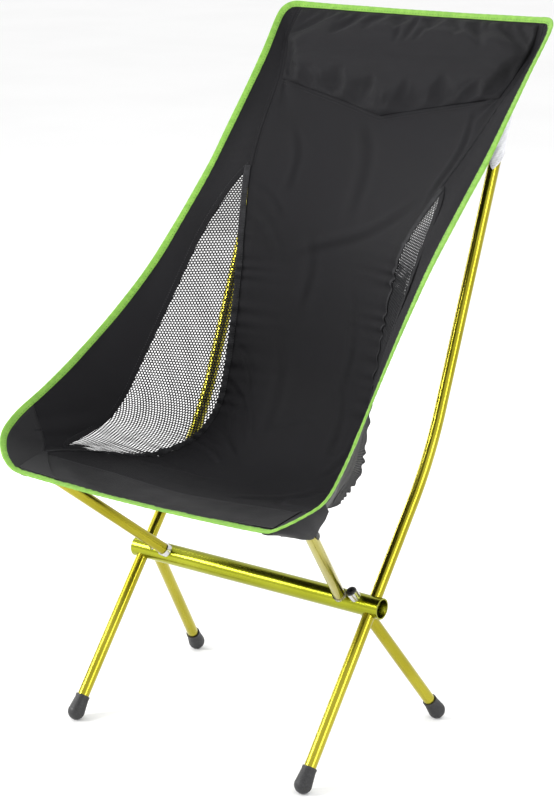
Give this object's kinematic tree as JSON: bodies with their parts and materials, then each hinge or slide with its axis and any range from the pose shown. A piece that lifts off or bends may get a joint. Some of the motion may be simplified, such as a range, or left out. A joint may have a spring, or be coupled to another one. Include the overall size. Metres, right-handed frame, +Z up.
{
  "type": "folding backpacking chair",
  "caption": "High-back collapsible camping chair: poles plugged into one crossbar, and a fabric sling with mesh sides and a headrest hung on the pole tips.",
  "frame": {"origin": "centre of the overall box, at ground level under the feet", "axes": "+Z up, -Y the way the sitter faces, +X to the right as seen from in front"},
  "size_m": [0.5078, 0.6458, 0.9173],
  "materials": {
    "gold": "gold anodised tube, bright drawn finish",
    "silver": "natural anodised",
    "black": "moulded nylon",
    "rubber": "matt moulded",
    "cloth": "charcoal ripstop, matt",
    "mesh": "open knitted mesh",
    "tape": "ribbed tape",
    "lime": "folded binding, stitched",
    "padding": "padded ripstop",
    "elastic": "braided shock cord"
  },
  "bodies": {
    "hub": {"crossbar": "gold", "hub_spigot_left": "silver", "hub_spigot_right": "silver", "rear_leg_spigot_left": "silver", "rear_leg_spigot_right": "silver", "spigot_plug_left": "black", "spigot_plug_right": "black", "seat_socket_left": "silver", "seat_socket_right": "silver", "front_cord_left": "elastic", "front_cord_right": "elastic", "rear_cord_left": "elastic", "rear_cord_right": "elastic", "seat_cord_left": "elastic", "seat_cord_right": "elastic"},
    "front_leg_left": {"front_leg_left": "gold", "front_foot_left": "rubber"},
    "rear_leg_left": {"rear_leg_left": "gold", "rear_foot_left": "rubber"},
    "seat_pole_left": {"seat_pole_left": "gold", "seat_pole_tip_left": "black"},
    "back_pole_lower_left": {"back_pole_lower_left": "gold", "back_pole_ferrule_left": "silver", "back_cord_left": "elastic"},
    "back_pole_upper_left": {"back_pole_upper_left": "gold", "back_pole_tip_left": "black"},
    "front_leg_right": {"front_leg_right": "gold", "front_foot_right": "rubber"},
    "rear_leg_right": {"rear_leg_right": "gold", "rear_foot_right": "rubber"},
    "seat_pole_right": {"seat_pole_right": "gold", "seat_pole_tip_right": "black"},
    "back_pole_lower_right": {"back_pole_lower_right": "gold", "back_pole_ferrule_right": "silver", "back_cord_right": "elastic"},
    "back_pole_upper_right": {"back_pole_upper_right": "gold", "back_pole_tip_right": "black"},
    "sling": {"centre_panel": "cloth", "side_wing_left": "cloth", "side_wing_right": "cloth", "mesh_panel_left": "mesh", "mesh_panel_right": "mesh", "mesh_tape_left": "tape", "mesh_tape_right": "tape", "corner_gusset_left": "cloth", "corner_gusset_right": "cloth", "front_pocket_left": "cloth", "front_pocket_right": "cloth", "back_pocket_left": "tape", "back_pocket_right": "tape", "edge_binding": "lime", "headrest_pad": "padding", "front_hem": "cloth"}
  },
  "joints": [
    {"name": "front_leg_slide_left", "type": "slide", "parent": "hub", "child": "front_leg_left", "axis": [0, -0.6293, -0.7771], "range_m": [0, 0.045], "stiffness_N_per_m": 60, "springref_m": -0.1},
    {"name": "rear_leg_slide_left", "type": "slide", "parent": "hub", "child": "rear_leg_left", "axis": [-0.159, 0.5741, -0.8032], "range_m": [0, 0.045], "stiffness_N_per_m": 60, "springref_m": -0.1},
    {"name": "front_leg_slide_right", "type": "slide", "parent": "hub", "child": "front_leg_right", "axis": [0, -0.6293, -0.7771], "range_m": [0, 0.045], "stiffness_N_per_m": 60, "springref_m": -0.1},
    {"name": "rear_leg_slide_right", "type": "slide", "parent": "hub", "child": "rear_leg_right", "axis": [0.159, 0.5741, -0.8032], "range_m": [0, 0.045], "stiffness_N_per_m": 60, "springref_m": -0.1},
    {"name": "sling_lift", "type": "slide", "parent": "hub", "child": "sling", "axis": [0, 0.4283, 0.9036], "range_m": [0, 0.17]},
    {"name": "seat_pole_slide_left", "type": "slide", "parent": "hub", "child": "seat_pole_left", "axis": [-0.294, -0.717, 0.632], "range_m": [0, 0.035]},
    {"name": "back_lower_slide_left", "type": "slide", "parent": "hub", "child": "back_pole_lower_left", "axis": [0, 0.6293, 0.7771], "range_m": [0, 0.036]},
    {"name": "back_upper_slide_left", "type": "slide", "parent": "back_pole_lower_left", "child": "back_pole_upper_left", "axis": [0, 0.3714, 0.9285], "range_m": [0, 0.045]},
    {"name": "seat_pole_slide_right", "type": "slide", "parent": "hub", "child": "seat_pole_right", "axis": [0.294, -0.717, 0.632], "range_m": [0, 0.035]},
    {"name": "back_lower_slide_right", "type": "slide", "parent": "hub", "child": "back_pole_lower_right", "axis": [0, 0.6293, 0.7771], "range_m": [0, 0.036]},
    {"name": "back_upper_slide_right", "type": "slide", "parent": "back_pole_lower_right", "child": "back_pole_upper_right", "axis": [0, 0.3714, 0.9285], "range_m": [0, 0.045]}
  ],
  "couplings": [
    {"joint": "seat_pole_slide_left", "follows": "sling_lift", "ratio": 0.2},
    {"joint": "back_lower_slide_left", "follows": "sling_lift", "ratio": 0.21},
    {"joint": "back_upper_slide_left", "follows": "sling_lift", "ratio": 0.26},
    {"joint": "seat_pole_slide_right", "follows": "sling_lift", "ratio": 0.2},
    {"joint": "back_lower_slide_right", "follows": "sling_lift", "ratio": 0.21},
    {"joint": "back_upper_slide_right", "follows": "sling_lift", "ratio": 0.26}
  ]
}
